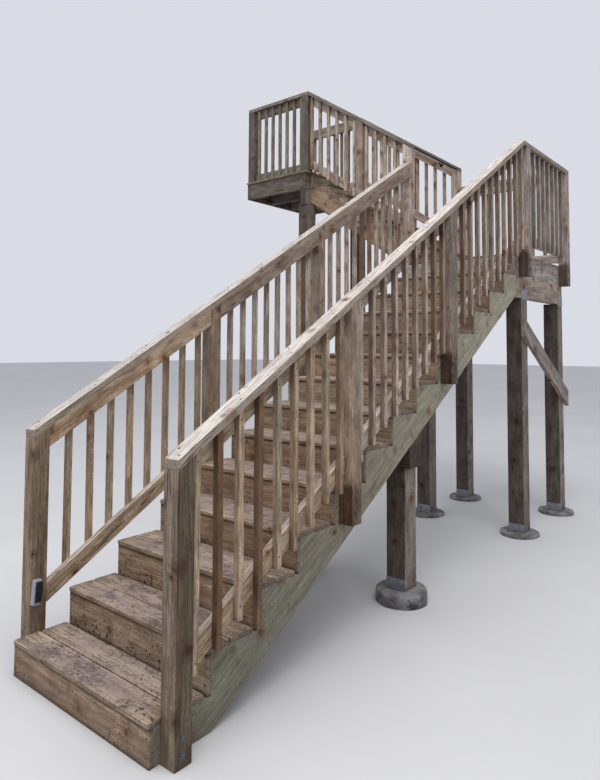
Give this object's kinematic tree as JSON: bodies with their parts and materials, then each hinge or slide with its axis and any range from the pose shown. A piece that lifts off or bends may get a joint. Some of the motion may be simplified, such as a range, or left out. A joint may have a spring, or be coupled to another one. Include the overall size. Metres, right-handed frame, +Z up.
{
  "type": "deck stairs",
  "caption": "Wooden deck stairs: a long straight flight with baluster guards up to a landing on heavy posts, then a short flight at a right angle up to a small balcony.",
  "frame": {"origin": "on the floor, under the middle of the whole object's box", "axes": "+X up the long flight, from the first step towards the landing; +Y from the flight's open side towards the house wall; +Z up"},
  "size_m": [5.233, 3.4951, 4.6098],
  "materials": {
    "stringer_pine": "planed, greenish from the treatment, grooved along the grain",
    "tread_pine": "planed, with knots, screw heads and dried mud",
    "riser_pine": "planed, brown streaks and knots",
    "post_pine": "planed, knots, tan to green-brown",
    "guard_pine": "planed, boards of mixed tan, brown and green tones",
    "cap_pine": "planed, pale, with screw heads",
    "weathered_pine": "weathered grey-green",
    "heavy_pine": "rough sawn, dark olive brown",
    "frame_pine": "planed, tan to grey-green",
    "galvanised_steel": "hot-dip galvanised, spangled",
    "concrete": "cast concrete, dirt-splashed",
    "black_metal": "satin black paint",
    "lamp_white": "moulded white plastic",
    "lamp_panel": "dark cover over the cell"
  },
  "bodies": {
    "root": {"right_stringer": "stringer_pine", "middle_stringer": "stringer_pine", "left_stringer": "stringer_pine", "main_treads": "tread_pine", "main_risers": "riser_pine", "right_posts": "post_pine", "left_posts": "post_pine", "right_panel_1": "guard_pine", "right_panel_2": "guard_pine", "right_panel_3": "guard_pine", "left_panel_1": "guard_pine", "left_panel_2": "guard_pine", "left_panel_3": "guard_pine", "right_cap": "cap_pine", "left_cap": "cap_pine", "landing_side_panel": "guard_pine", "landing_end_panel": "guard_pine", "landing_end_cap": "cap_pine", "landing_frame": "frame_pine", "landing_deck": "tread_pine", "landing_beams": "frame_pine", "landing_posts": "heavy_pine", "landing_brace": "frame_pine", "flight_beam": "heavy_pine", "flight_posts": "heavy_pine", "post_hardware": "galvanised_steel", "footings": "concrete", "upper_stringers": "stringer_pine", "upper_treads": "tread_pine", "upper_risers": "riser_pine", "upper_posts": "post_pine", "upper_near_panel": "guard_pine", "upper_far_panel": "guard_pine", "upper_caps": "cap_pine", "balcony_frame": "frame_pine", "balcony_deck": "tread_pine", "balcony_posts": "post_pine", "balcony_near_panel": "weathered_pine", "balcony_far_panel": "weathered_pine", "balcony_caps": "cap_pine", "balcony_supports": "heavy_pine", "black_handrail": "black_metal", "step_light": "lamp_white"}
  },
  "joints": []
}
